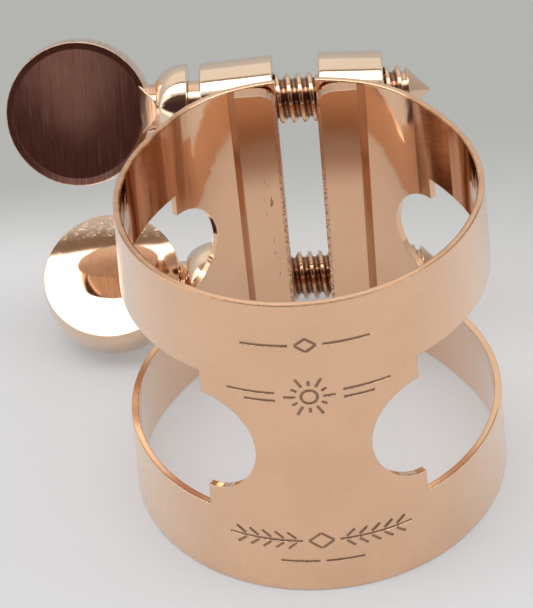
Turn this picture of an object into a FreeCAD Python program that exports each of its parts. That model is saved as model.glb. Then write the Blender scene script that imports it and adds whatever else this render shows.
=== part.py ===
"""Two-screw ligature for a saxophone mouthpiece.

Millimetres. +Z runs up the bore towards the mouthpiece tip, the origin is the centre of the lower
rim's plane, -Y is the front of the band and +Y is the back, where the gap, rails and screws are.
The thumb heads are on the -X side.
"""
import FreeCAD
import Part

import math
import os

from FreeCAD import Vector

# ---------------------------------------------------------------- band
BAND_HEIGHT = 23.2
BASE_RADIUS = 12.7              # outside, at the lower rim
TOP_RADIUS = 11.66              # outside, at the upper rim
SHEET = 0.45
RING_WIDTH = 6.05               # height of the upper and of the lower ring
GAP_WIDTH = 2.7
RIM_ROUND = 0.12                # softened edge of the two rims

# Section of the band: a circle, and towards the back a flatter flank, a tighter shoulder and a
# flatter rear. Directions are degrees from the back, radii are fractions of the local radius.
FLANK_START = 60.0
FLANK_END = 50.0
FLANK_RADIUS = 1.85
SHOULDER_END = 18.0
SHOULDER_RADIUS = 0.70

# ---------------------------------------------------------------- side windows
WINDOW_FRONT = 34.0             # degrees from the front to the window's straight end
WINDOW_REAR = 47.0              # degrees from the back
LOBE_REACH = 3.5                # how far a rounded lobe cuts beyond the straight end
LOBE_HALF_HEIGHT = 3.82

# ---------------------------------------------------------------- rails
RAIL_WIDTH = 2.75
RAIL_THICKNESS = 1.0
RAIL_FACE = 11.35               # reed face to the bore's axis, at the lower rim
RAIL_TOP_SETBACK = 0.1
RAIL_BOTTOM_SETBACK = 0.15
RAIL_CORNER = 1.2

# ---------------------------------------------------------------- posts
POST_RADIUS = 2.95
LEFT_POST_LENGTH = 4.95
RIGHT_POST_LENGTH = 4.35
POST_FROM_RIM = 3.5             # post axis to the nearer rim
POST_TOE = 5.0                  # outer ends lean forward, along the band
POST_SEAT = 0.25                # how deep the band sinks into the post's saddle
POST_SETBACK = 0.2              # post face to the edge of the gap
POST_EDGE_ROUND = 0.15
LEFT_BORE_RADIUS = 1.95

# ---------------------------------------------------------------- screws
THREAD_RADIUS = 1.75            # M3.5 with a 0.75 mm pitch
THREAD_PITCH = 0.75
THREAD_DEPTH = 0.40
THREAD_CREST = 0.16
THREAD_GAP = 0.05               # thread crest to the right post's bore
SHANK_RADIUS = 1.70
CORE_RADIUS = 0.90              # stem inside the collar and the paddle's neck
COLLAR_GAP = 0.03               # core to the collar's bore
FACE_GAP = 0.02                 # between faces that turn on each other
COLLAR_TO_POST = 0.90           # left open at rest on the upper screw
COLLAR_RADIUS = 2.88
COLLAR_LENGTH = 2.15
COLLAR_LAND = 0.15
DOME_LENGTH = 2.25
DOME_HEIGHT = 1.68
SHANK_LENGTH = 3.9              # collar face to the first thread
THREADED_LENGTH = 10.9          # first thread to the root of the point
POINT_LENGTH = 1.62
POINT_FLAT = 0.08
LOWER_SCREW_ADVANCE = 0.5       # the lower screw is turned in this much further

# ---------------------------------------------------------------- paddles
PADDLE_RADIUS = 5.08
PADDLE_FACE_RADIUS = 4.9
PADDLE_BEVEL_WIDTH = 0.47       # narrow lip round the dished face
PADDLE_BEVEL_DROP = 0.035
PADDLE_FRONT = 0.95             # from the screw's axis to the lip of the dished face
PADDLE_BACK = 2.15              # from the screw's axis to the edge of the domed face
PADDLE_DISH = 0.18
PADDLE_DOME_RADIUS = 37.5       # the other face bulges
PADDLE_CENTRE = 7.62            # from the collar's flat face
NECK_RADIUS = 1.62
NECK_FLARE = 1.02               # radius of the round between neck and disc
NECK_FLARE_SWEEP = 60.0
NECK_STRAIGHT = 0.46
NECK_HEIGHT_AT_DISC = 1.71      # the neck is flattened: its height where it meets the disc
NECK_HEIGHT_MIDWAY = 2.38
SOCKET_DEPTH = 0.9
UPPER_PADDLE_TILT = 30.0        # elevation of the dished face's normal, towards the front
LOWER_PADDLE_TILT = -115.0      # the lower paddle is turned over: its dome faces up and forward

# ---------------------------------------------------------------- engraved ornament
GROOVE_DEPTH = 0.06
GROOVE_WIDTH = 0.2
# upper ring: a diamond between two lines
UPPER_DIAMOND = (0.65, 0.5)     # half width and half height
UPPER_LINE = (1.05, 3.9)        # start and end, from the middle
# waist: a sunburst between two pairs of lines
SUN_BELOW_RING = 0.95
SUN_RADIUS = 0.5
RAYS = 12
RAY_START = 0.85
LONG_RAY = 1.6
SHORT_RAY = 1.25
SUN_LINE_START = 2.1
SUN_LONG_LINE_END = 5.0
SUN_SHORT_LINE_END = 4.0
SUN_LINE_OFFSET = 0.3
# lower ring: two sprigs that meet at a diamond, over a broken line
SPRIG_BELOW_RING = 1.7
SPRIG_DIAMOND = (0.8, 0.65)
STALK = (1.2, 5.8)
LEAVES = 5
FIRST_LEAF = 1.6
LEAF_SPACING = 0.8
LEAF_LENGTH = 0.55
LEAF_RISE = 0.7
BROKEN_LINE = (0.2, 2.7)
BROKEN_LINE_DROP = 1.75

FAR = 60.0                      # longer than anything in the part
UP = Vector(0, 0, 1)


def local_radius(height):
    """Outside radius of the band's circular part at a height."""
    return BASE_RADIUS + (TOP_RADIUS - BASE_RADIUS) * height / BAND_HEIGHT


def heading(degrees):
    """Unit vector in plan, by its angle from the back (+Y) towards +X."""
    angle = math.radians(degrees)
    return Vector(math.sin(angle), math.cos(angle), 0)


def aimed(shape, origin, z_direction, x_direction):
    """Put a shape made at the origin at a place, with its Z and X axes along two directions."""
    y_direction = z_direction.cross(x_direction)
    turn = FreeCAD.Rotation(x_direction, y_direction, z_direction, "ZXY")
    shape.Placement = FreeCAD.Placement(origin, turn)
    return shape


def box_between(low, high):
    """Box between two corners."""
    size = [b - a for a, b in zip(low, high)]
    return Part.makeBox(*size, Vector(*low))


def section_arcs(radius):
    """Centre, radius and end directions of each arc on the +X side of the band's section."""
    flank_centre = heading(FLANK_START) * (radius * (1 - FLANK_RADIUS))
    flank_end = flank_centre + heading(FLANK_END) * (radius * FLANK_RADIUS)
    shoulder_centre = flank_end - heading(FLANK_END) * (radius * SHOULDER_RADIUS)
    shoulder_end = shoulder_centre + heading(SHOULDER_END) * (radius * SHOULDER_RADIUS)
    rear_radius = shoulder_end.x / heading(SHOULDER_END).x
    rear_centre = Vector(0, shoulder_end.y - rear_radius * heading(SHOULDER_END).y, 0)
    return {
        "front": (Vector(0, 0, 0), radius, 180.0, FLANK_START),
        "flank": (flank_centre, radius * FLANK_RADIUS, FLANK_START, FLANK_END),
        "shoulder": (shoulder_centre, radius * SHOULDER_RADIUS, FLANK_END, SHOULDER_END),
        "rear": (rear_centre, rear_radius, SHOULDER_END, 0.0),
    }


def section_wire(height, inset):
    """Closed outline of the band at a height, moved inwards by inset."""
    halves = {1: [], -1: []}
    for side, edges in halves.items():
        for centre, radius, start, end in section_arcs(local_radius(height)).values():
            points = []
            for direction in (start, (start + end) / 2, end):
                point = centre + heading(direction) * (radius - inset)
                points.append(Vector(side * point.x, point.y, height))
            edges.append(points)
    loop = halves[1] + [points[::-1] for points in reversed(halves[-1])]
    return Part.Wire([Part.Arc(*points).toShape() for points in loop])


def section_solid(inset, overshoot=0.0):
    """Solid inside the band's outline, from rim to rim, or past both rims by overshoot."""
    lower = section_wire(-overshoot, inset)
    upper = section_wire(BAND_HEIGHT + overshoot, inset)
    return Part.makeLoft([lower, upper], True, True)


def window_cutter(side):
    """Cutter for the window on one side: a tall sector with a rounded lobe at each end."""
    front = heading(180 - WINDOW_FRONT)
    rear = heading(WINDOW_REAR)
    corners = [Vector(0, 0, 0), front * FAR, Vector(FAR, 0, 0), rear * FAR, Vector(0, 0, 0)]
    outline = [Vector(side * corner.x, corner.y, RING_WIDTH) for corner in corners]
    cutter = Part.Face(Part.makePolygon(outline)).extrude(UP * (BAND_HEIGHT - 2 * RING_WIDTH))
    for end in (front, rear):
        out = Vector(side * end.x, end.y, 0)
        ellipse = Part.Ellipse(Vector(0, 0, 0), LOBE_HALF_HEIGHT, LOBE_REACH)
        lobe = Part.Face(Part.Wire(ellipse.toShape())).extrude(UP * FAR)
        start = out * (BASE_RADIUS / 2) + UP * (BAND_HEIGHT / 2)
        cutter = cutter.fuse(aimed(lobe, start, out, UP))
    return cutter


# ---------------------------------------------------------------- engraved ornament
def stroke(x_start, z_start, x_end, z_end):
    """Cutter for a straight groove on the front, between two points seen from the front."""
    length = math.hypot(x_end - x_start, z_end - z_start)
    along = Vector(x_end - x_start, 0, z_end - z_start).normalize()
    bar = Part.makeBox(length, GROOVE_WIDTH, FAR, Vector(0, -GROOVE_WIDTH / 2, 0))
    return aimed(bar, Vector(x_start, 0, z_start), Vector(0, -1, 0), along)


def ring_stroke(x, z, radius):
    """Cutter for a round groove on the front."""
    outer = Part.makeCylinder(radius + GROOVE_WIDTH / 2, FAR)
    inner = Part.makeCylinder(radius - GROOVE_WIDTH / 2, FAR)
    return aimed(outer.cut(inner), Vector(x, 0, z), Vector(0, -1, 0), Vector(1, 0, 0))


def diamond(z, half_width, half_height):
    """Four strokes round a point on the middle line."""
    corners = [(-half_width, z), (0, z + half_height), (half_width, z), (0, z - half_height)]
    return [stroke(*corners[i - 1], *corners[i]) for i in range(4)]


def line_pair(z, start, end):
    """A level stroke on each side of the middle."""
    return [stroke(side * start, z, side * end, z) for side in (1, -1)]


def upper_ornament():
    """A small diamond between two fine lines."""
    z = BAND_HEIGHT - RING_WIDTH / 2
    return line_pair(z, *UPPER_LINE) + diamond(z, *UPPER_DIAMOND)


def waist_ornament():
    """A sunburst between two pairs of short lines."""
    z = BAND_HEIGHT - RING_WIDTH - SUN_BELOW_RING
    cutters = [ring_stroke(0, z, SUN_RADIUS)]
    for spoke in range(RAYS):
        angle = math.tau * spoke / RAYS
        reach = LONG_RAY if spoke % 2 == 0 else SHORT_RAY
        x, up = math.cos(angle), math.sin(angle)
        cutters.append(stroke(RAY_START * x, z + RAY_START * up, reach * x, z + reach * up))
    cutters += line_pair(z + SUN_LINE_OFFSET, SUN_LINE_START, SUN_LONG_LINE_END)
    cutters += line_pair(z - SUN_LINE_OFFSET, SUN_LINE_START, SUN_SHORT_LINE_END)
    return cutters


def lower_ornament():
    """Two leafy sprigs that meet at a diamond, over a fine broken line."""
    z = RING_WIDTH - SPRIG_BELOW_RING
    cutters = diamond(z, *SPRIG_DIAMOND) + line_pair(z, *STALK)
    for side in (1, -1):
        for leaf in range(LEAVES):
            root = FIRST_LEAF + leaf * LEAF_SPACING
            tip = root + LEAF_LENGTH
            for rise in (LEAF_RISE, -LEAF_RISE):
                cutters.append(stroke(side * root, z + rise / 4, side * tip, z + rise))
    return cutters + line_pair(z - BROKEN_LINE_DROP, *BROKEN_LINE)


def ornament_grooves():
    """Shallow grooves in the band's front."""
    skin = section_solid(-GROOVE_DEPTH, 1.0).cut(section_solid(GROOVE_DEPTH, 1.0))
    skin = skin.common(box_between((-FAR, -FAR, -FAR), (FAR, -BASE_RADIUS / 2, FAR)))
    cutters = upper_ornament() + waist_ornament() + lower_ornament()
    return [skin.common(cutter) for cutter in cutters]


# ---------------------------------------------------------------- band and what is soldered to it
def rim_edges(shape):
    """Edges that lie in the plane of either rim."""
    found = []
    for edge in shape.Edges:
        low, high = edge.BoundBox.ZMin, edge.BoundBox.ZMax
        flat = high - low < RIM_ROUND / 10
        if flat and (abs(low) < RIM_ROUND or abs(high - BAND_HEIGHT) < RIM_ROUND):
            found.append(edge)
    return found


def make_band():
    hoop = section_solid(0).cut(section_solid(SHEET, 1.0))
    hoop = hoop.makeFillet(RIM_ROUND, rim_edges(hoop))
    hoop = hoop.cut(window_cutter(1)).cut(window_cutter(-1))
    hoop = hoop.cut(box_between((-GAP_WIDTH / 2, 0, -FAR), (GAP_WIDTH / 2, FAR, FAR)))
    return hoop.cut(ornament_grooves())


def make_rail(side):
    """Soldered strip beside the gap, with a flat face for the reed."""
    rear_centre, rear_radius, _, _ = section_arcs(1.0)["rear"]
    taper = (BASE_RADIUS - TOP_RADIUS) / BAND_HEIGHT
    lean = math.degrees(math.atan((rear_centre.y + rear_radius) * taper))
    near = GAP_WIDTH / 2
    low = (near, RAIL_FACE, -FAR / 4)
    strip = box_between(low, (near + RAIL_WIDTH, RAIL_FACE + RAIL_THICKNESS, FAR))
    strip.rotate(Vector(0, RAIL_FACE, 0), Vector(1, 0, 0), lean)
    top = BAND_HEIGHT - RAIL_TOP_SETBACK
    strip = strip.common(box_between((0, 0, RAIL_BOTTOM_SETBACK), (FAR, FAR, top)))
    for edge in strip.Edges:
        middle = edge.BoundBox.Center
        if abs(middle.x - near) < RAIL_CORNER / 10 and abs(middle.z - top) < RAIL_CORNER / 10:
            corner = edge
    strip = strip.makeFillet(RAIL_CORNER, [corner])
    strip = strip.common(section_solid(SHEET))
    return strip if side > 0 else strip.mirror(Vector(0, 0, 0), Vector(1, 0, 0))


def post_place(height):
    """A point on the right post's axis and the axis' direction, for posts at a height."""
    centre, radius, _, _ = section_arcs(local_radius(height))["rear"]
    out = heading(POST_TOE)
    point = centre + out * (radius + POST_RADIUS - POST_SEAT) + UP * height
    return point, UP.cross(out) * -1


def screw_y(height):
    """Where the screw's axis passes: through the middle of the right post's axis."""
    point, along = post_place(height)
    middle = GAP_WIDTH / 2 + POST_SETBACK + RIGHT_POST_LENGTH / 2
    return point.y + along.y / along.x * (middle - point.x)


def make_post(side, height):
    """Barrel soldered on the band, faced square to the screw and bored for it."""
    point, along = post_place(height)
    barrel = aimed(Part.makeCylinder(POST_RADIUS, FAR), point - along * (FAR / 2), along, UP)
    length = RIGHT_POST_LENGTH if side > 0 else LEFT_POST_LENGTH
    near = GAP_WIDTH / 2 + POST_SETBACK
    post = barrel.common(box_between((near, 0, -FAR), (near + length, FAR, FAR)))
    post = post.makeFillet(POST_EDGE_ROUND, post.Edges[:])
    post = post.cut(section_solid(0, 1.0))
    bore_radius = THREAD_RADIUS + THREAD_GAP if side > 0 else LEFT_BORE_RADIUS
    bore_start = Vector(-FAR / 2, screw_y(height), height)
    post = post.cut(Part.makeCylinder(bore_radius, FAR, bore_start, Vector(1, 0, 0)))
    return post if side > 0 else post.mirror(Vector(0, 0, 0), Vector(1, 0, 0))


# ---------------------------------------------------------------- screws
def thread_groove(start, length):
    """Helical V groove along +Z, open at the outside, whose first turn begins at start."""
    helix = Part.makeHelix(THREAD_PITCH, length, THREAD_RADIUS)
    mouth = (THREAD_PITCH - THREAD_CREST) / 2
    root = THREAD_RADIUS - THREAD_DEPTH
    corners = [
        Vector(THREAD_RADIUS + THREAD_GAP, 0, -mouth),
        Vector(root, 0, -THREAD_CREST / 2),
        Vector(root, 0, THREAD_CREST / 2),
        Vector(THREAD_RADIUS + THREAD_GAP, 0, mouth),
        Vector(THREAD_RADIUS + THREAD_GAP, 0, -mouth),
    ]
    groove = Part.Wire(helix).makePipeShell([Part.makePolygon(corners)], True, True)
    groove.translate(UP * (start + mouth))
    return groove


def make_stem():
    """Turned stem along +Z from the collar's face: core, shank, thread and point."""
    core_start = -(COLLAR_LENGTH + FACE_GAP + SOCKET_DEPTH)
    thread_end = SHANK_LENGTH + THREADED_LENGTH
    outline = [
        (0, core_start),
        (CORE_RADIUS, core_start),
        (CORE_RADIUS, FACE_GAP),
        (SHANK_RADIUS, FACE_GAP),
        (SHANK_RADIUS, SHANK_LENGTH),
        (THREAD_RADIUS, SHANK_LENGTH),
        (THREAD_RADIUS, thread_end),
        (POINT_FLAT, thread_end + POINT_LENGTH),
        (0, thread_end + POINT_LENGTH),
        (0, core_start),
    ]
    face = Part.Face(Part.makePolygon([Vector(radius, 0, along) for radius, along in outline]))
    stem = face.revolve(Vector(0, 0, 0), UP, 360)
    return stem.cut(thread_groove(SHANK_LENGTH, THREADED_LENGTH))


def make_collar():
    """Domed collar with its flat face at x = 0 towards the post, bored for the stem's core."""
    dome = Part.Ellipse(Vector(0, 0, 0), DOME_LENGTH, DOME_HEIGHT)
    base = COLLAR_RADIUS - DOME_HEIGHT
    end_angle = math.pi / 2 + math.asin((COLLAR_LENGTH - COLLAR_LAND) / DOME_LENGTH)
    arc = dome.toShape(math.pi / 2, end_angle)
    arc.translate(Vector(-COLLAR_LAND, base, 0))
    shoulder = Vector(-COLLAR_LAND, COLLAR_RADIUS, 0)
    end = Vector(-COLLAR_LENGTH, base + DOME_HEIGHT * math.sin(end_angle), 0)
    bore = CORE_RADIUS + COLLAR_GAP
    rest = Part.makePolygon([
        end,
        Vector(-COLLAR_LENGTH, bore, 0),
        Vector(0, bore, 0),
        Vector(0, COLLAR_RADIUS, 0),
        shoulder,
    ])
    face = Part.Face(Part.Wire(Part.__sortEdges__([arc] + rest.Edges)))
    return face.revolve(Vector(0, 0, 0), Vector(1, 0, 0), 360)


def make_disc():
    """Thumb disc about +Z, its centre at the origin: dished on the +Z face, domed on the other."""
    bevel_start = PADDLE_FACE_RADIUS - PADDLE_BEVEL_WIDTH
    bevel_end = PADDLE_FRONT - PADDLE_BEVEL_DROP
    rim = [
        Vector(PADDLE_FACE_RADIUS, 0, bevel_end),
        Vector(PADDLE_RADIUS, 0, (bevel_end - PADDLE_BACK) / 2),
        Vector(PADDLE_FACE_RADIUS, 0, -PADDLE_BACK),
    ]
    rest = Part.makePolygon([
        rim[-1],
        Vector(PADDLE_FACE_RADIUS, 0, -PADDLE_RADIUS),
        Vector(0, 0, -PADDLE_RADIUS),
        Vector(0, 0, PADDLE_FRONT),
        Vector(bevel_start, 0, PADDLE_FRONT),
        rim[0],
    ])
    outline = Part.Wire([Part.Arc(*rim).toShape()] + rest.Edges)
    disc = Part.Face(outline).revolve(Vector(0, 0, 0), UP, 360)
    disc.rotate(Vector(0, 0, 0), UP, 180)    # keeps the seam clear of the neck
    dish_radius = (bevel_start ** 2 + PADDLE_DISH ** 2) / (2 * PADDLE_DISH)
    dish = Part.makeSphere(dish_radius)
    disc = disc.cut(aimed(dish, UP * (PADDLE_FRONT - PADDLE_DISH + dish_radius), Vector(0, 1, 0), UP))
    dome_centre = math.sqrt(PADDLE_DOME_RADIUS ** 2 - PADDLE_FACE_RADIUS ** 2) - PADDLE_BACK
    dome = Part.makeSphere(PADDLE_DOME_RADIUS)
    return disc.common(aimed(dome, UP * dome_centre, Vector(0, 1, 0), UP * -1))


def make_neck(end):
    """Neck along +X up to end: turned, with a round flare into the disc, then flattened."""
    flare_end = end - NECK_STRAIGHT
    flare = []
    for sweep in (0, NECK_FLARE_SWEEP / 2, NECK_FLARE_SWEEP):
        angle = math.radians(sweep)
        rise = NECK_FLARE * (1 - math.cos(angle))
        flare.append(Vector(flare_end - NECK_FLARE * math.sin(angle), NECK_RADIUS + rise, 0))
    start = flare[-1].x
    rest = Part.makePolygon([
        flare[-1],
        Vector(start, 0, 0),
        Vector(end, 0, 0),
        Vector(end, NECK_RADIUS, 0),
        flare[0],
    ])
    profile = Part.Face(Part.Wire([Part.Arc(*flare).toShape()] + rest.Edges))
    turned = profile.revolve(Vector(0, 0, 0), Vector(1, 0, 0), 360)

    heights = [
        (start, NECK_HEIGHT_AT_DISC / 2),
        ((start + end) / 2, NECK_HEIGHT_MIDWAY / 2),
        (end, NECK_RADIUS),
    ]
    upper = [Vector(x, -FAR / 2, z) for x, z in heights]
    lower = [Vector(x, -FAR / 2, -z) for x, z in heights]
    side_view = Part.Wire([
        Part.Arc(*upper).toShape(),
        Part.makeLine(upper[-1], lower[-1]),
        Part.Arc(*lower[::-1]).toShape(),
        Part.makeLine(lower[0], upper[0]),
    ])
    return turned.common(Part.Face(side_view).extrude(Vector(0, FAR, 0)))


def make_paddle():
    """Thumb disc about +Z with its neck towards +X and a socket for the stem's core."""
    neck_end = PADDLE_CENTRE - COLLAR_LENGTH - FACE_GAP
    socket_start = Vector(neck_end - SOCKET_DEPTH, 0, 0)
    socket = Part.makeCylinder(CORE_RADIUS, FAR, socket_start, Vector(1, 0, 0))
    return make_disc().fuse(make_neck(neck_end)).removeSplitter().cut(socket)


def screw_parts(height, collar_face, tilt):
    """Stem, collar and paddle of one screw in place: collar_face is where its flat face stands."""
    origin = Vector(collar_face, screw_y(height), height)
    right = Vector(1, 0, 0)
    stem = aimed(make_stem(), origin, right, UP)
    collar = make_collar()
    collar.translate(origin)
    angle = math.radians(tilt)
    normal = Vector(0, -math.cos(angle), math.sin(angle))
    paddle = aimed(make_paddle(), origin - right * PADDLE_CENTRE, normal, right)
    return {"stem": stem, "collar": collar, "paddle": paddle}


def main():
    upper = BAND_HEIGHT - POST_FROM_RIM
    lower = POST_FROM_RIM
    nodes = {
        "band": make_band(),
        "right_rail": make_rail(1),
        "left_rail": make_rail(-1),
        "upper_right_post": make_post(1, upper),
        "upper_left_post": make_post(-1, upper),
        "lower_right_post": make_post(1, lower),
        "lower_left_post": make_post(-1, lower),
    }
    collar_face = -(GAP_WIDTH / 2 + POST_SETBACK + LEFT_POST_LENGTH + COLLAR_TO_POST)
    for name, shape in screw_parts(upper, collar_face, UPPER_PADDLE_TILT).items():
        nodes["upper_" + name] = shape
    collar_face += LOWER_SCREW_ADVANCE
    for name, shape in screw_parts(lower, collar_face, LOWER_PADDLE_TILT).items():
        nodes["lower_" + name] = shape
    os.makedirs("parts", exist_ok=True)
    for name, shape in nodes.items():
        solid, = shape.Solids
        solid.exportStep("parts/" + name + ".step")
        print(name, round(solid.Volume, 2), solid.isValid())


main()
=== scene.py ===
"""Studio scene for the two-screw saxophone ligature.

Everything is in metres in the CAD frame: +Z up the bore, -Y the front, +Y the gap and the screws.
"""
import math

import bpy
from mathutils import Matrix, Vector


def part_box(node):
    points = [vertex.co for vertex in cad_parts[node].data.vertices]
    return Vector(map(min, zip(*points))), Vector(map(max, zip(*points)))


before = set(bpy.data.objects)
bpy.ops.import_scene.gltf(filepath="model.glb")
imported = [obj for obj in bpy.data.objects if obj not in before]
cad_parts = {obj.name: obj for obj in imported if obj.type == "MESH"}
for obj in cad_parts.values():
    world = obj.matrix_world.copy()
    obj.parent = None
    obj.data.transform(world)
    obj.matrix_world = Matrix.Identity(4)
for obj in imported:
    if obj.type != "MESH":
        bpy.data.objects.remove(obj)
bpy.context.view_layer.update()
BAND_LOW, BAND_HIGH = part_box("band")
BAND_CENTRE = (BAND_LOW + BAND_HIGH) / 2
BAND_HEIGHT = BAND_HIGH.z - BAND_LOW.z
MM = 0.001
MICRON = 0.001 * MM
BASE_RADIUS = BAND_HIGH.x


def radius_at_top():
    """Outside radius of the band at its upper rim, from the frame."""
    rim_depth = 0.3 * MM
    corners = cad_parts["band"].data.vertices
    return max(v.co.x for v in corners if v.co.z > BAND_HIGH.z - rim_depth)


TOP_RADIUS = radius_at_top()
RAIL_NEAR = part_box("right_rail")[0].x       # the rail's side next to the gap
RAIL_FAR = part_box("right_rail")[1].x        # and its outer side

# ---------------------------------------------------------------- camera
CAMERA_DISTANCE = 6.6246                    # in band heights, to the point looked at
CAMERA_ELEVATION = math.radians(39.60)
CAMERA_AZIMUTH = math.radians(3.335)
CAMERA_ROLL = math.radians(-5.845)
CAMERA_LENS = 139.57
SENSOR_WIDTH = 36.0
NEAREST_SEEN = 0.01
FARTHEST_SEEN = 20.0
AIM = Vector((-0.1165, 0.0, 0.5950))        # in band heights, from the bore's axis at the lower rim

# ---------------------------------------------------------------- colours
ROSE = (0.89, 0.565, 0.365)
PALE_ROSE = (0.88, 0.68, 0.52)              # rubbed edges, posts and collars
PAINTED_SHEEN_ROSE = (0.96, 0.82, 0.70)           # painted sheen: any plate seen nearly edge on is painted paler
SCREW_ROSE = (0.84, 0.58, 0.41)
# painted shade: the lower stem sits in the upper screw's shadow and gets this darker screw colour
SHADED_SCREW_ROSE = (0.62, 0.38, 0.24)
POLISHED_ROSE = (0.86, 0.61, 0.44)
STAIN_AND_SHADE = (0.20, 0.085, 0.045)                # grime in grooves, pits and thread roots, and painted shade on the rails' outer sides
WALL_DARK_REFLECTION = (0.62, 0.32, 0.18)              # painted dark reflection on the upper ring's inner sides
WALL_DARK_REFLECTION_STREAK = (0.36, 0.15, 0.07)
# painted dark reflection on the rails' upper parts
RAIL_TOP_DARK_REFLECTION = (0.43, 0.20, 0.105)
FACE_FILM = (0.55, 0.30, 0.22)              # on the upper paddle
BRIGHT_SCRATCH = (1.0, 0.80, 0.72)
DARK_SCRATCH = (0.45, 0.20, 0.14)
DULL_FACE_AND_PAINTED_REFLECTION = (0.62, 0.50, 0.42)              # rear part of the lower paddle: dull and pitted, and painted greyer as a dim reflection
PAPER_FRONT = (0.44, 0.445, 0.455)
PAPER_REAR = (0.26, 0.265, 0.26)
FIBRE_DARK = (0.6, 0.6, 0.6)
FIBRE_LIGHT = (0.8, 0.8, 0.8)
TENT_LOW = (0.50, 0.49, 0.47)
TENT_HIGH = (0.74, 0.73, 0.71)

# ---------------------------------------------------------------- wear, grime, painted shade and painted reflections
# A pair is where an effect starts and where it is full.
EDGE_RADIUS = 0.1 * MM
GROOVE_STARTS = (0.036 * MM, 0.052 * MM)    # depth below the band's face
GROOVE_ENDS = (0.12 * MM, 0.08 * MM)        # anything deeper is a rim or a window, not a groove
GROOVE_FRONT = (-0.2 * BASE_RADIUS, -0.3 * BASE_RADIUS)
WALL_SIDE = (0.50 * BASE_RADIUS, 0.65 * BASE_RADIUS)
WALL_RING = (0.60 * BAND_HIGH.z, 0.75 * BAND_HIGH.z)
SHEARED_EDGE = (RAIL_NEAR + 0.30 * MM, RAIL_NEAR + 0.18 * MM)
RAIL_SIDE = (RAIL_FAR - 0.08 * MM, RAIL_FAR - 0.02 * MM)
RAIL_REFLECTION_WAVE = 1.2 * MM
RAIL_REFLECTION_FOOT = (BAND_HIGH.z - 8.0 * MM, BAND_HIGH.z - 4.6 * MM)
RAIL_REFLECTION_TOP = (BAND_HIGH.z, BAND_HIGH.z - 3.5 * MM)
NICK_STRIP_X = -2.4 * MM                    # a line of nicks down the left rail
NICK_STRIP_EDGE = (0.5 * MM, 0.3 * MM)
NICK_STRIP_ENDS = (5 * MM, 4 * MM)          # above and below the band's middle
THREAD_ROOT = (0.16 * MM, 0.34 * MM)        # below the thread's crest
THREAD_FROM_HEAD = (8.0 * MM, 8.2 * MM)
THREAD_FROM_TIP = (1.9 * MM, 2.1 * MM)
DULL_FACE_REAR = (BAND_HIGH.y + 3.4 * MM, BAND_HIGH.y + 5.2 * MM)

# ---------------------------------------------------------------- floor
FLOOR_HALF_SIZE = 3.0
FLOOR_DROP = 0.02 * MM                      # keeps the paper clear of the lower rim
GREY_LEFT_X = -22 * MM                      # the paper turns grey further back on the left
GREY_RIGHT_X = 18 * MM
GREY_START = (22 * MM, 6 * MM)              # Y at the left and at the right
GREY_WIDTH = (13 * MM, 34 * MM)
PAPER_GLOW = 0.55                           # stands in for light bounced round the room


# ---------------------------------------------------------------- node helpers
class Graph:
    """Short names for building a shader node tree."""

    def __init__(self, tree):
        self.tree = tree
        tree.nodes.clear()

    def add(self, kind, inputs=None, **settings):
        """Add a node, set its properties, and link or fill its inputs."""
        node = self.tree.nodes.new(kind)
        for name, value in settings.items():
            setattr(node, name, value)
        for name, value in (inputs or {}).items():
            self.feed(node.inputs[name], value)
        return node

    def feed(self, socket, value):
        """Link a socket to another node's output, or set it to a value."""
        if isinstance(value, bpy.types.NodeSocket):
            self.tree.links.new(value, socket)
        else:
            socket.default_value = value

    def math(self, operation, a, b=0.0, c=0.0):
        node = self.tree.nodes.new("ShaderNodeMath")
        node.operation = operation
        for socket, value in zip(node.inputs, (a, b, c)):
            self.feed(socket, value)
        return node.outputs[0]

    def product(self, a, b):
        return self.math("MULTIPLY", a, b)

    def vector(self, operation, a, b=(0.0, 0.0, 0.0)):
        node = self.tree.nodes.new("ShaderNodeVectorMath")
        node.operation = operation
        self.feed(node.inputs[0], a)
        self.feed(node.inputs[1], b)
        return node.outputs["Value" if operation in ("DOT_PRODUCT", "LENGTH") else "Vector"]

    def ramp(self, value, start, end, low=0.0, high=1.0, smooth=True):
        """low where value is at start, high where it is at end, and held beyond both."""
        node = self.add("ShaderNodeMapRange", {
            "Value": value, "From Min": start, "From Max": end, "To Min": low, "To Max": high,
        })
        node.interpolation_type = "SMOOTHSTEP" if smooth else "LINEAR"
        return node.outputs["Result"]

    def mix(self, factor, a, b):
        """Colour a at factor 0 and b at 1; each is a socket or (red, green, blue)."""
        node = self.tree.nodes.new("ShaderNodeMix")
        node.data_type = "RGBA"
        self.feed(node.inputs["Factor"], factor)
        for name, colour in (("A", a), ("B", b)):
            self.feed(node.inputs[name], (*colour, 1) if isinstance(colour, tuple) else colour)
        return node.outputs["Result"]

    def noise(self, vector, scale, detail=2.0, roughness=0.5):
        node = self.add("ShaderNodeTexNoise", {
            "Vector": vector, "Scale": scale, "Detail": detail, "Roughness": roughness,
        })
        return node.outputs["Fac"]

    def stretched(self, vector, scale):
        return self.add("ShaderNodeMapping", {"Vector": vector, "Scale": scale}).outputs["Vector"]

    def split(self, vector):
        return self.add("ShaderNodeSeparateXYZ", {"Vector": vector}).outputs


def new_material(name):
    material = bpy.data.materials.new(name)
    material.use_nodes = True
    return material, Graph(material.node_tree)


# ---------------------------------------------------------------- metal
def rubbed_edge(g):
    """0 on open faces, 1 along convex and concave edges, and the softened normal."""
    rounded = g.add("ShaderNodeBevel", {"Radius": EDGE_RADIUS}, samples=4).outputs["Normal"]
    flat = g.add("ShaderNodeNewGeometry").outputs["Normal"]
    return g.ramp(g.vector("DOT_PRODUCT", rounded, flat), 0.985, 0.85), rounded


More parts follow.
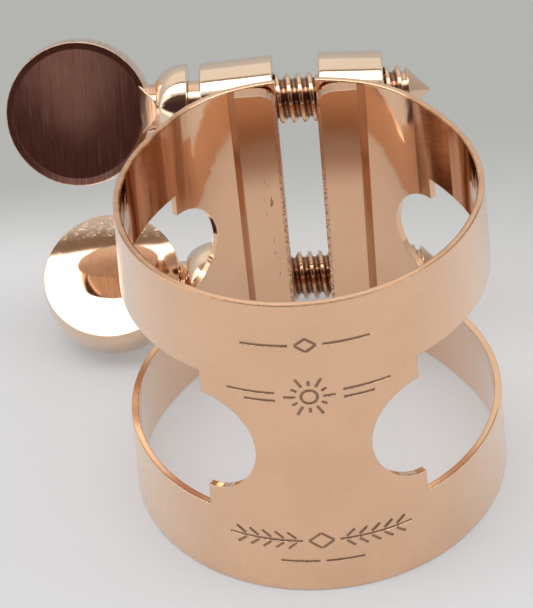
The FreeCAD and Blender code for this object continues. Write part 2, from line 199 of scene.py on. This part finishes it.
def plated_metal(name, roughness, grain, grain_scale, colour=ROSE, wear=0.5, extra=None):
    """Plate with colour drift, polishing grain, pale rubbed edges and a painted sheen at grazing
    angles.

    grain is the height of the polishing marks in microns, and grain_scale draws them out along
    an axis where it is small. extra adds what one kind of piece has of its own: it takes and
    returns the colour, the roughness and the height in microns.
    """
    material, g = new_material(name)
    place = g.add("ShaderNodeTexCoord").outputs["Object"]
    edge, rounded = rubbed_edge(g)

    drift = g.noise(place, 160.0, 3.0)
    streak = g.noise(g.stretched(place, grain_scale), 9000.0, 2.0, 0.6)
    facing = g.add("ShaderNodeLayerWeight", {"Blend": 0.5}).outputs["Facing"]
    darker = tuple(channel * 0.94 for channel in colour)
    tone = g.mix(g.ramp(drift, 0.35, 0.65), colour, darker)
    # painted sheen: the plate is painted paler where it is seen nearly edge on
    tone = g.mix(g.ramp(facing, 0.25, 0.95, 0.0, 0.85), tone, PAINTED_SHEEN_ROSE)
    tone = g.mix(g.product(edge, wear), tone, PALE_ROSE)
    rough = g.ramp(streak, 0.3, 0.7, roughness * 0.9, roughness * 1.1)
    height = g.product(streak, grain)
    if extra:
        tone, rough, height = extra(g, place, tone, rough, height)
    bump = g.add("ShaderNodeBump", {
        "Strength": 1.0, "Distance": MICRON, "Height": height, "Normal": rounded,
    }).outputs["Normal"]
    shader = g.add("ShaderNodeBsdfPrincipled", {
        "Base Color": tone, "Metallic": 1.0, "Roughness": rough, "Normal": bump,
    })
    g.add("ShaderNodeOutputMaterial", {"Surface": shader.outputs[0]})
    return material


def band_detail(g, place, tone, rough, height):
    """Dark engraved grooves in front, and a smoother inside, with dark reflections painted on the
    upper ring's inner sides.
    """
    parts = g.split(place)
    flat = g.add("ShaderNodeCombineXYZ", {"X": parts["X"], "Y": parts["Y"]}).outputs["Vector"]
    outwards = g.vector("NORMALIZE", flat)
    normal = g.add("ShaderNodeNewGeometry").outputs["Normal"]
    inside = g.ramp(g.vector("DOT_PRODUCT", normal, outwards), 0.1, -0.1)

    surface = g.ramp(parts["Z"], BAND_LOW.z, BAND_HIGH.z, BASE_RADIUS, TOP_RADIUS, smooth=False)
    depth = g.math("SUBTRACT", surface, g.vector("LENGTH", flat))
    groove = g.product(g.ramp(depth, *GROOVE_STARTS), g.ramp(depth, *GROOVE_ENDS))
    groove = g.product(groove, g.ramp(parts["Y"], *GROOVE_FRONT))
    tone = g.mix(g.product(groove, 0.75), tone, STAIN_AND_SHADE)

    # painted reflection: darker streaky copper on the upper ring's inner sides, stronger on the left
    side = g.ramp(g.math("ABSOLUTE", parts["X"]), *WALL_SIDE)
    side = g.product(side, g.ramp(parts["Z"], *WALL_RING))
    stronger_left = g.ramp(parts["X"], 0.0, -1 * MM, 0.6, 1.0)
    film_and_painted_reflection = g.product(g.product(side, inside), stronger_left)
    streaks = g.noise(g.stretched(place, (1.0, 1.0, 0.05)), 700.0, 3.0, 0.6)
    painted_reflection_tone = g.mix(g.ramp(streaks, 0.40, 0.60), WALL_DARK_REFLECTION, WALL_DARK_REFLECTION_STREAK)
    tone = g.mix(film_and_painted_reflection, tone, painted_reflection_tone)

    smoother = g.ramp(inside, 0.0, 1.0, 1.0, 0.25)
    return tone, g.product(rough, smoother), g.product(height, smoother)


def rail_detail(g, place, tone, rough, height):
    """Rough sheared edges beside the gap, painted shade on the outer sides, a painted dark
    reflection on the tops, nicks on the left rail.
    """
    parts = g.split(place)
    from_middle = g.math("ABSOLUTE", parts["X"])

    chips = g.noise(place, 5200.0, 4.0, 0.7)
    sheared = g.ramp(from_middle, *SHEARED_EDGE)
    pits = g.product(sheared, g.ramp(chips, 0.46, 0.58))

    nicks = g.ramp(g.noise(g.stretched(place, (1.0, 1.0, 0.16)), 6500.0, 1.0), 0.67, 0.70)
    from_centre = g.math("ABSOLUTE", g.math("SUBTRACT", parts["Z"], BAND_CENTRE.z))
    from_strip = g.math("ABSOLUTE", g.math("SUBTRACT", parts["X"], NICK_STRIP_X))
    strip = g.product(g.ramp(from_centre, *NICK_STRIP_ENDS), g.ramp(from_strip, *NICK_STRIP_EDGE))
    marks = g.product(g.math("MAXIMUM", pits, g.product(nicks, strip)), 0.7)
    # painted shade: the rails' outer sides darkened, where they meet the band
    outer = g.product(g.ramp(from_middle, *RAIL_SIDE), 0.4)
    tone = g.mix(g.math("MAXIMUM", marks, outer), tone, STAIN_AND_SHADE)

    # painted reflection: the rails' upper parts darkened, with a wavy lower edge
    wavy_height = g.math("ADD", parts["Z"], g.product(g.noise(place, 300.0), RAIL_REFLECTION_WAVE))
    film_and_painted_reflection = g.ramp(wavy_height, *RAIL_REFLECTION_FOOT, 0.0, 0.8)
    film_and_painted_reflection = g.product(film_and_painted_reflection, g.ramp(parts["Z"], *RAIL_REFLECTION_TOP, 0.35, 1.0))
    tone = g.mix(film_and_painted_reflection, tone, RAIL_TOP_DARK_REFLECTION)

    height = g.math("ADD", height, g.product(g.product(chips, sheared), 12.0))
    rough = g.math("ADD", rough, g.product(sheared, 0.2))
    return tone, rough, height


def thread_grime(stem):
    """Detail for a screw's stem: grime in the roots of its thread."""
    low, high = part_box(stem)
    middle = (low + high) / 2
    crest = (high.z - low.z) / 2

    def detail(g, place, tone, rough, height):
        parts = g.split(place)
        across = g.add("ShaderNodeCombineXYZ", {
            "X": g.math("SUBTRACT", parts["Y"], middle.y),
            "Y": g.math("SUBTRACT", parts["Z"], middle.z),
        }).outputs["Vector"]
        root = g.ramp(g.vector("LENGTH", across), *[crest - depth for depth in THREAD_ROOT])
        past_head = g.ramp(parts["X"], *[low.x + reach for reach in THREAD_FROM_HEAD])
        before_tip = g.ramp(parts["X"], *[high.x - reach for reach in THREAD_FROM_TIP])
        thread = g.product(past_head, before_tip)
        tone = g.mix(g.product(g.product(root, thread), 0.75), tone, STAIN_AND_SHADE)
        return tone, rough, height

    return detail


def pitted_face(g, place, tone, rough, height):
    """Fine pits in the plate, gathered towards the rear of the face, where it is dull too and
    painted greyer as a dim reflection.
    """
    rear = g.ramp(g.split(place)["Y"], *DULL_FACE_REAR)
    pits = g.ramp(g.noise(place, 2200.0, 3.0, 0.6), 0.52, 0.68)
    # painted reflection: the rear of the face painted greyer
    tone = g.mix(g.product(rear, 0.55), tone, DULL_FACE_AND_PAINTED_REFLECTION)
    height = g.math("ADD", height, g.product(g.product(pits, rear), 4.5))
    rough = g.math("ADD", rough, g.product(rear, 0.12))
    return tone, rough, height


def worn_face(g, place, tone, rough, height):
    """Brushed and handled thumb face: long uneven scratches and a brown film."""
    scratch = g.noise(g.stretched(place, (1.0, 0.06, 0.06)), 5200.0, 5.0, 0.75)
    film_and_painted_reflection = g.noise(place, 420.0, 4.0, 0.65)
    tone = g.mix(g.ramp(film_and_painted_reflection, 0.35, 0.75, 0.0, 0.35), tone, FACE_FILM)
    tone = g.mix(g.ramp(scratch, 0.50, 0.72, 0.0, 0.5), tone, BRIGHT_SCRATCH)
    tone = g.mix(g.ramp(scratch, 0.48, 0.30, 0.0, 0.5), tone, DARK_SCRATCH)
    rough = g.math("ADD", rough, g.ramp(scratch, 0.5, 0.75, 0.0, 0.12))
    height = g.math("ADD", height, g.product(scratch, 1.5))
    return tone, rough, height


def screw_plate(stem, colour):
    """Plate of a screw's stem, with grime in the thread."""
    return plated_metal(
        stem + "_plate", 0.13, 0.06, (1, 0.1, 0.1), colour, extra=thread_grime(stem))


def dress_metal():
    """Give every CAD node its finish."""
    band = plated_metal(
        "band_satin_plate", 0.30, 0.035, (1, 1, 0.15), wear=0.9, extra=band_detail)
    rail = plated_metal("rail_plate", 0.11, 0.06, (1, 1, 0.06), extra=rail_detail)
    post = plated_metal("post_plate", 0.10, 0.06, (1, 0.15, 0.15), PALE_ROSE, wear=0.3)
    handled = plated_metal("upper_paddle_plate", 0.10, 0.06, (1, 0.1, 0.1), extra=worn_face)
    polished = plated_metal(
        "lower_paddle_plate", 0.05, 0.04, (1, 0.1, 0.1), POLISHED_ROSE, extra=pitted_face)
    finishes = {
        "band": band, "left_rail": rail, "right_rail": rail,
        "upper_left_post": post, "upper_right_post": post,
        "lower_left_post": post, "lower_right_post": post,
        "upper_stem": screw_plate("upper_stem", SCREW_ROSE),
        # painted shade: the lower stem gets the darker copy of the screw plate
        "lower_stem": screw_plate("lower_stem", SHADED_SCREW_ROSE),
        "upper_collar": post, "lower_collar": post,
        "upper_paddle": handled, "lower_paddle": polished,
    }
    for node, material in finishes.items():
        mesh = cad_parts[node].data
        mesh.materials.clear()
        mesh.materials.append(material)


# ---------------------------------------------------------------- studio
def paper(g):
    """Colour of the sheet: pale where the object stands, greyer behind, with a faint fibre."""
    place = g.add("ShaderNodeNewGeometry").outputs["Position"]
    parts = g.split(place)
    start = g.ramp(parts["X"], GREY_LEFT_X, GREY_RIGHT_X, *GREY_START, smooth=False)
    width = g.ramp(parts["X"], GREY_LEFT_X, GREY_RIGHT_X, *GREY_WIDTH, smooth=False)
    into_grey = g.math("DIVIDE", g.math("SUBTRACT", parts["Y"], start), width)
    tone = g.mix(g.ramp(into_grey, 0.0, 1.0), PAPER_FRONT, PAPER_REAR)
    fibre = g.mix(g.noise(place, 3000.0, 4.0), FIBRE_DARK, FIBRE_LIGHT)
    return g.mix(0.03, tone, fibre)


def make_floor():
    """One sheet of paper under the object."""
    size = FLOOR_HALF_SIZE
    mesh = bpy.data.meshes.new("floor")
    corners = [(-size, -size, 0), (size, -size, 0), (size, size, 0), (-size, size, 0)]
    mesh.from_pydata(corners, [], [(0, 1, 2, 3)])
    floor = bpy.data.objects.new("floor", mesh)
    bpy.context.scene.collection.objects.link(floor)
    floor.location.z = BAND_LOW.z - FLOOR_DROP

    material, g = new_material("paper_floor")
    tone = paper(g)
    shader = g.add("ShaderNodeBsdfPrincipled", {
        "Base Color": tone, "Roughness": 0.8, "Specular IOR Level": 0.2,
        "Emission Color": tone, "Emission Strength": PAPER_GLOW,
    })
    g.add("ShaderNodeOutputMaterial", {"Surface": shader.outputs[0]})
    mesh.materials.append(material)


def sky_patch(g, around, sideways, centre, half_size, soft):
    """1 inside an oval part of the tent, falling to 0 beyond its edge over soft times its half size.

    around is the angle about the screws' direction: 0 in front (-Y), 90 overhead, 180 behind.
    sideways is the angle towards +X.
    """
    u = g.math("DIVIDE", g.math("SUBTRACT", around, centre[0]), half_size[0])
    v = g.math("DIVIDE", g.math("SUBTRACT", sideways, centre[1]), half_size[1])
    distance = g.math("SQRT", g.math("ADD", g.product(u, u), g.product(v, v)))
    return g.ramp(distance, 1.0 + soft, 1.0)


SKY_PATCHES = (
    # centre and half size in degrees (around, sideways), softness, radiance
    ((35, -62), (45, 20), 0.6, (1.5, 1.45, 1.35)),        # a pale wall far to the left
    ((121, 0), (18, 34), 0.5, (0.92, 0.89, 0.83)),        # light cloth beside the lamp
    ((87, -6), (12.5, 50), 0.10, (3.8, 3.75, 3.7)),       # the lamp
    ((101.5, 0), (2.8, 34), 0.4, (0.24, 0.17, 0.12)),     # its rear edge
    ((52, -20), (13, 52), 0.2, (0.09, 0.05, 0.04)),       # the dark camera side, upper part
    ((31, -22), (15, 52), 0.4, (0.055, 0.028, 0.030)),    # and lower part
    ((18.5, -6.5), (5.5, 3), 1.1, (0.19, 0.135, 0.15)),   # a faint light low in front
)


def make_world():
    """A light tent: a lamp panel above it, and the dark camera side in front."""
    world = bpy.data.worlds.new("light_tent")
    bpy.context.scene.world = world
    world.use_nodes = True
    g = Graph(world.node_tree)
    direction = g.add("ShaderNodeTexCoord").outputs["Generated"]
    parts = g.split(direction)
    forward = g.product(parts["Y"], -1.0)
    around = g.math("DEGREES", g.math("ARCTAN2", parts["Z"], forward))
    sideways = g.math("DEGREES", g.math("ARCSINE", parts["X"]))
    colour = g.mix(g.ramp(parts["Z"], 0.0, 0.85), TENT_LOW, TENT_HIGH)
    for centre, half_size, soft, radiance in SKY_PATCHES:
        patch = sky_patch(g, around, sideways, centre, half_size, soft)
        colour = g.mix(patch, colour, radiance)
    seen = g.add("ShaderNodeLightPath").outputs["Is Camera Ray"]
    colour = g.mix(seen, colour, TENT_LOW)
    background = g.add("ShaderNodeBackground", {"Color": colour, "Strength": 1.0})
    g.add("ShaderNodeOutputWorld", {"Surface": background.outputs[0]})


def make_camera():
    """A long lens in front of the object and above it, slightly rolled."""
    camera_data = bpy.data.cameras.new("camera")
    camera_data.lens = CAMERA_LENS
    camera_data.sensor_width = SENSOR_WIDTH
    camera_data.clip_start = NEAREST_SEEN
    camera_data.clip_end = FARTHEST_SEEN
    camera = bpy.data.objects.new("camera", camera_data)
    bpy.context.scene.collection.objects.link(camera)
    bpy.context.scene.camera = camera
    level = math.cos(CAMERA_ELEVATION)
    forward = Vector((
        -math.sin(CAMERA_AZIMUTH) * level,
        math.cos(CAMERA_AZIMUTH) * level,
        -math.sin(CAMERA_ELEVATION),
    ))
    right = Vector((math.cos(CAMERA_AZIMUTH), math.sin(CAMERA_AZIMUTH), 0))
    up = right.cross(forward)
    tilted_right = right * math.cos(CAMERA_ROLL) + up * math.sin(CAMERA_ROLL)
    tilted_up = up * math.cos(CAMERA_ROLL) - right * math.sin(CAMERA_ROLL)
    axes = Matrix((tilted_right, tilted_up, -forward)).transposed()
    aim = Vector((0, 0, BAND_LOW.z)) + AIM * BAND_HEIGHT
    place = aim - forward * (CAMERA_DISTANCE * BAND_HEIGHT)
    camera.matrix_world = Matrix.Translation(place) @ axes.to_4x4()


bpy.context.scene.view_settings.view_transform = "Standard"
dress_metal()
make_floor()
make_world()
make_camera()
